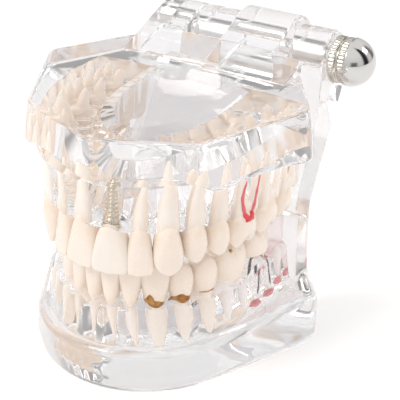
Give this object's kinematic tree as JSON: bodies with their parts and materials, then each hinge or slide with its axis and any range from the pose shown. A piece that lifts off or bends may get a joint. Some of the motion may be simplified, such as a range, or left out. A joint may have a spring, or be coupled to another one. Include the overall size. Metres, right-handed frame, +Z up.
{
  "type": "dental typodont model",
  "caption": "Hinged clear acrylic model of both jaws with a full set of teeth, an implant, root fillings and other shown tooth conditions.",
  "frame": {"origin": "on the flat underside, on the midline between left and right, below the middle of the dental arches", "axes": "+X towards the patient's left, where the knob is; +Y towards the hinge at the back; +Z up"},
  "size_m": [0.0796, 0.0855, 0.0765],
  "materials": {
    "clear_acrylic": "clear cast acrylic, polished",
    "tooth_ivory": "ivory tooth resin, satin gloss",
    "clear_tooth": "milky clear resin",
    "white_crown": "glazed",
    "implant_metal": "blasted titanium, satin",
    "red_filling": "painted",
    "dark_metal": "blackened",
    "pink_lesion": "painted",
    "calculus": "rough",
    "steel": "plain",
    "knurled_chrome": "knurled, plated",
    "chrome": "mirror polished"
  },
  "bodies": {
    "lower": {"lower_jaw": "clear_acrylic", "lower_left_central_incisor": "tooth_ivory", "lower_left_lateral_incisor": "tooth_ivory", "lower_left_canine": "tooth_ivory", "lower_left_first_premolar": "tooth_ivory", "lower_left_second_premolar": "tooth_ivory", "lower_left_first_molar": "tooth_ivory", "lower_left_second_molar": "clear_tooth", "lower_left_third_molar": "clear_tooth", "lower_right_central_incisor": "tooth_ivory", "lower_right_lateral_incisor": "tooth_ivory", "lower_right_canine": "tooth_ivory", "lower_right_first_premolar": "tooth_ivory", "lower_right_second_premolar": "tooth_ivory", "lower_right_first_molar": "tooth_ivory", "lower_right_second_molar": "tooth_ivory", "lower_right_third_molar": "tooth_ivory", "post_and_core": "dark_metal", "second_molar_cap": "tooth_ivory", "second_molar_lesions": "pink_lesion", "third_molar_lesions": "pink_lesion", "canine_calculus": "calculus", "premolar_calculus": "calculus"},
    "upper": {"upper_jaw": "clear_acrylic", "upper_left_lateral_incisor": "tooth_ivory", "upper_left_canine": "tooth_ivory", "upper_left_first_premolar": "tooth_ivory", "upper_left_second_premolar": "tooth_ivory", "upper_left_first_molar": "tooth_ivory", "upper_left_second_molar": "tooth_ivory", "upper_left_third_molar": "tooth_ivory", "upper_right_central_incisor": "tooth_ivory", "upper_right_lateral_incisor": "tooth_ivory", "upper_right_canine": "tooth_ivory", "upper_right_first_premolar": "tooth_ivory", "upper_right_second_premolar": "tooth_ivory", "upper_right_first_molar": "tooth_ivory", "upper_right_second_molar": "tooth_ivory", "upper_right_third_molar": "tooth_ivory", "implant_screw": "implant_metal", "implant_abutment": "implant_metal", "implant_crown": "white_crown", "root_canal_fill": "red_filling", "hinge_nut": "steel"},
    "washer": {"hinge_washer": "steel"},
    "screw": {"hinge_screw": "steel", "knob_collar": "knurled_chrome", "knob_dome": "chrome"}
  },
  "joints": [
    {"name": "jaw_hinge", "type": "hinge", "parent": "lower", "child": "upper", "pos_m": [0.003, 0.0396, 0.0673], "axis": [-1, 0, 0], "range_deg": [0, 120]},
    {"name": "screw_draw", "type": "slide", "parent": "upper", "child": "washer", "axis": [1, 0, 0], "range_m": [0, 0.004]},
    {"name": "screw_turn", "type": "hinge", "parent": "washer", "child": "screw", "pos_m": [0.03, 0.0396, 0.0673], "axis": [1, 0, 0], "range_deg": [0, 1800]}
  ],
  "couplings": [
    {"joint": "screw_draw", "follows": "screw_turn", "m_per_rad": 0.00012732}
  ]
}
